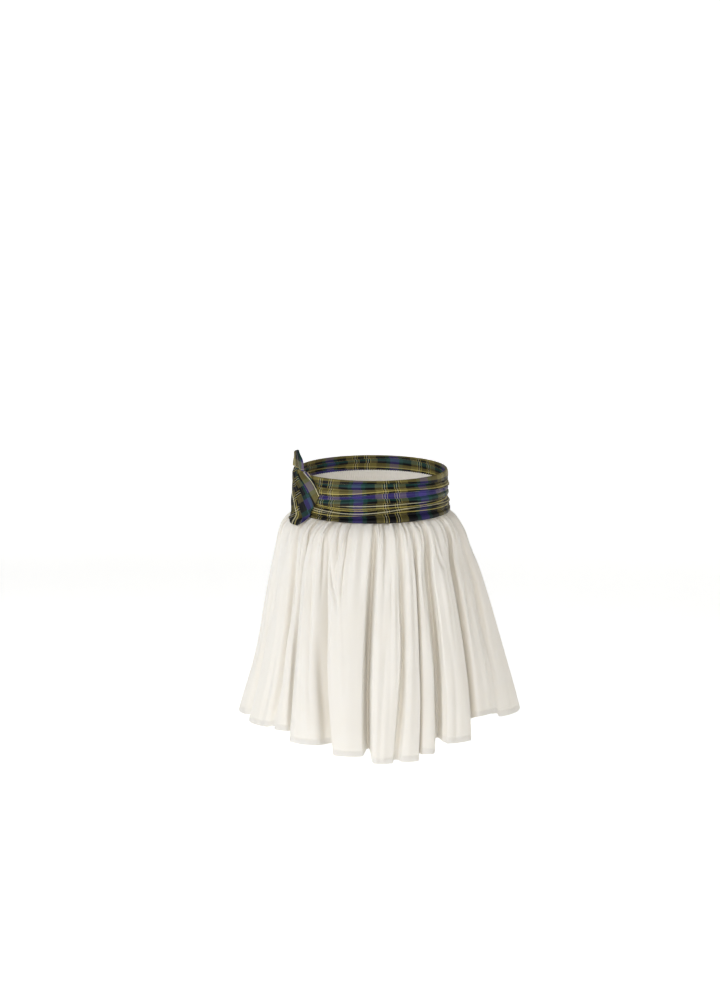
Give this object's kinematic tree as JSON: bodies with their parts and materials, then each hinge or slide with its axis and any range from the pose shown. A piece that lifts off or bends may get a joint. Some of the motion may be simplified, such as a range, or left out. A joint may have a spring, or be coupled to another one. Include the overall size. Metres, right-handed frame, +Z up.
{
  "type": "greek fustanella skirt with a tartan sash",
  "caption": "Knee-length white skirt, gathered on a waistband into deep hanging folds with an uneven hem, belted with a wound tartan sash.",
  "frame": {"origin": "middle of the wearer's waist, at half the height of the waistband, where the skirt is held up", "axes": "+Z up, the front of the skirt faces -Y, the wearer's left is +X"},
  "size_m": [0.4797, 0.4127, 0.506],
  "materials": {
    "white_cotton": "plain woven off-white cotton with a soft sheen",
    "tartan_cloth": "dark woven check, slightly satiny"
  },
  "bodies": {
    "root": {"waistband": "white_cotton", "skirt_front": "white_cotton", "skirt_back": "white_cotton", "sash_band": "tartan_cloth", "sash_wrap": "tartan_cloth", "sash_end": "tartan_cloth"}
  },
  "joints": []
}
